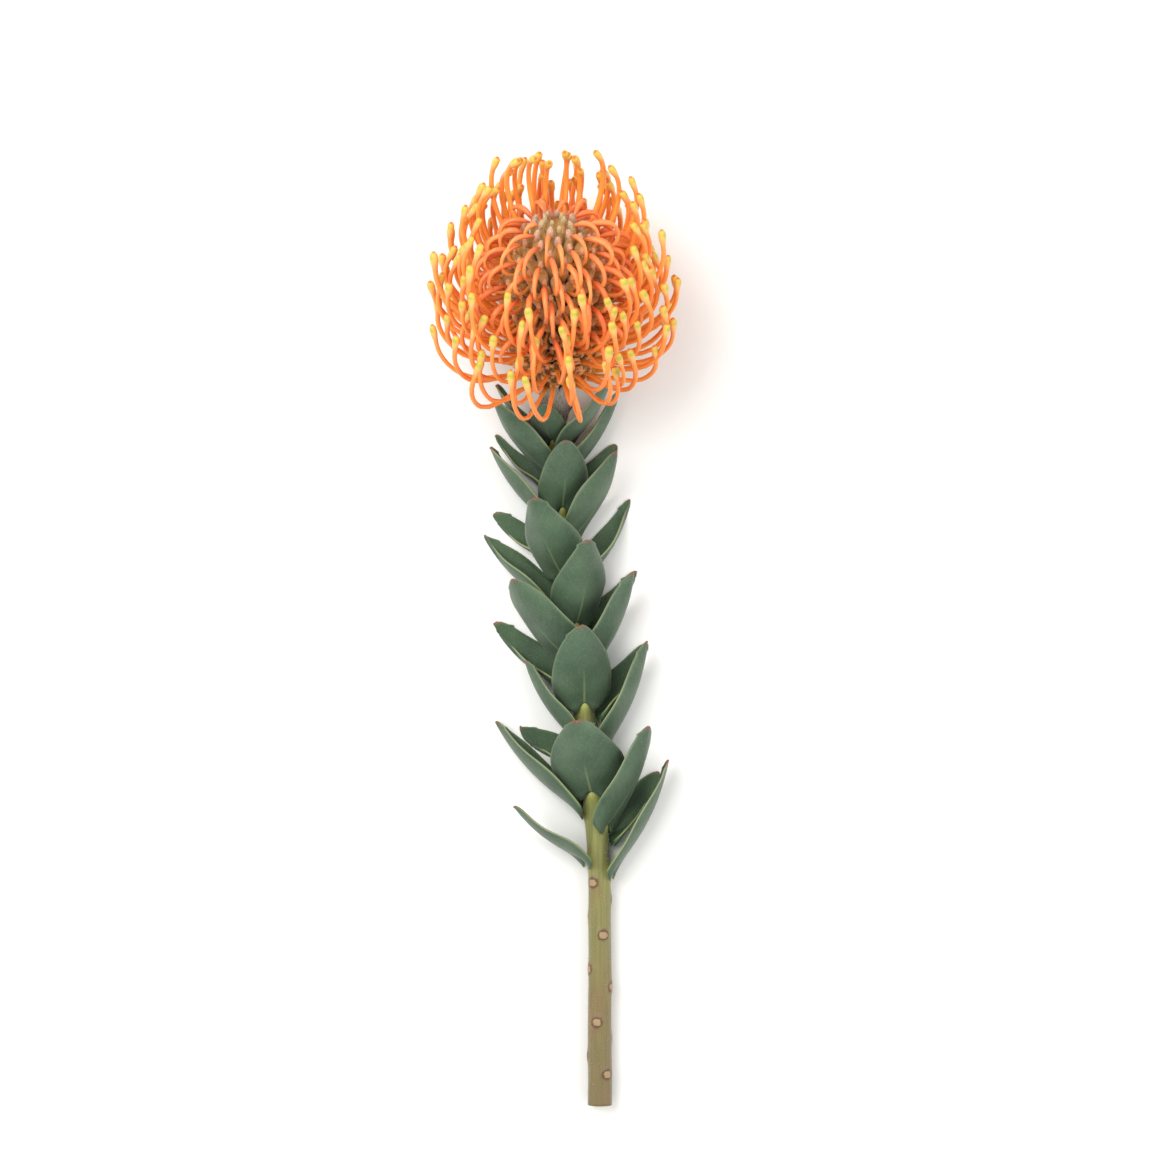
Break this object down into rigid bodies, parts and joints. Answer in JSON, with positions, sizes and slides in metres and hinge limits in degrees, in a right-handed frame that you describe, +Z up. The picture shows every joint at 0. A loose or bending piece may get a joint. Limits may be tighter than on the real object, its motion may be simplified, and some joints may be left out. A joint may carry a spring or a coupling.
{
  "type": "pincushion protea",
  "caption": "Cut pincushion protea stem with an orange bloom of hooked styles and leathery leaves, lying on its side.",
  "frame": {"origin": "on the surface the flower lies on, under the middle of its outline", "axes": "+Y along the stem from the cut end to the bloom, +Z up, +X to the right seen from above with the bloom at the top"},
  "size_m": [0.1157, 0.4473, 0.1127],
  "materials": {
    "stem": "matte",
    "leaf": "satin",
    "involucre": "matte",
    "styles": "satin"
  },
  "bodies": {
    "root": {"stem": "stem", "leaf_01": "leaf", "leaf_02": "leaf", "leaf_03": "leaf", "leaf_04": "leaf", "leaf_05": "leaf", "leaf_06": "leaf", "leaf_07": "leaf", "leaf_08": "leaf", "leaf_09": "leaf", "leaf_10": "leaf", "leaf_11": "leaf", "leaf_12": "leaf", "leaf_13": "leaf", "leaf_14": "leaf", "leaf_15": "leaf", "leaf_16": "leaf", "leaf_17": "leaf", "leaf_18": "leaf", "leaf_19": "leaf", "leaf_20": "leaf", "leaf_21": "leaf", "leaf_22": "leaf", "leaf_23": "leaf", "leaf_24": "leaf", "leaf_25": "leaf", "leaf_26": "leaf", "leaf_27": "leaf", "leaf_28": "leaf", "leaf_29": "leaf", "leaf_30": "leaf", "involucre": "involucre", "flower_head": "styles"}
  },
  "joints": []
}
